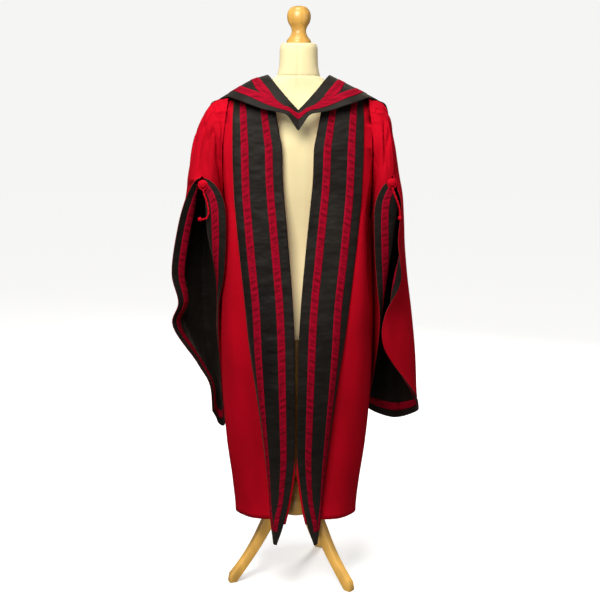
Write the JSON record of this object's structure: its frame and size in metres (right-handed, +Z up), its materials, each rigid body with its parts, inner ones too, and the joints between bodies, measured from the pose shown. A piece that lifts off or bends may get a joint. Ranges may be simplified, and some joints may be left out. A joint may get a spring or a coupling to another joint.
{
  "type": "doctoral graduation gown with hood on a dress form stand",
  "caption": "Scarlet open-front doctoral gown with black striped facings, hanging sleeves and a matching hood, on a limbless dress form with a wooden tripod stand.",
  "frame": {"origin": "on the floor, under the middle of the part's own box", "axes": "+Z up along the dress form's pole, the gown's front faces -Y, +X is to the right of a viewer in front of it"},
  "size_m": [0.7306, 0.3642, 1.6803],
  "materials": {
    "red_cloth": "scarlet plain-weave gown cloth, matt",
    "black_cloth": "black plain-weave cloth, matt",
    "crimson_velvet": "crimson velvet ribbon with fine cross ribs",
    "form_cloth": "cream cotton jersey stretched over the form",
    "wood": "varnished beech"
  },
  "bodies": {
    "root": {"form_torso": "form_cloth", "form_knob": "wood", "stand_pole": "wood", "stand_hub": "wood", "leg_left": "wood", "leg_right": "wood", "leg_rear": "wood", "front_left": "red_cloth", "front_right": "red_cloth", "yoke": "red_cloth", "back": "red_cloth", "facing_left": "black_cloth", "facing_right": "black_cloth", "facing_ribbon_inner_left": "crimson_velvet", "facing_ribbon_outer_left": "crimson_velvet", "facing_ribbon_inner_right": "crimson_velvet", "facing_ribbon_outer_right": "crimson_velvet", "sleeve_left": "red_cloth", "sleeve_right": "red_cloth", "sleeve_lining_left": "black_cloth", "sleeve_lining_right": "black_cloth", "sleeve_ribbon_front_left": "crimson_velvet", "sleeve_ribbon_back_left": "crimson_velvet", "sleeve_ribbon_hem_left": "crimson_velvet", "sleeve_ribbon_front_right": "crimson_velvet", "sleeve_ribbon_back_right": "crimson_velvet", "sleeve_ribbon_hem_right": "crimson_velvet", "hood_band_left": "black_cloth", "hood_band_right": "black_cloth", "hood_ribbon_inner_left": "crimson_velvet", "hood_ribbon_outer_left": "crimson_velvet", "hood_ribbon_inner_right": "crimson_velvet", "hood_ribbon_outer_right": "crimson_velvet", "hood_back_left": "black_cloth", "hood_back_right": "black_cloth", "hood_lining": "black_cloth", "button_left": "red_cloth", "button_right": "red_cloth", "loop_left": "red_cloth", "loop_right": "red_cloth", "cord_left": "red_cloth", "cord_right": "red_cloth", "knot_left": "red_cloth", "knot_right": "red_cloth"}
  },
  "joints": []
}
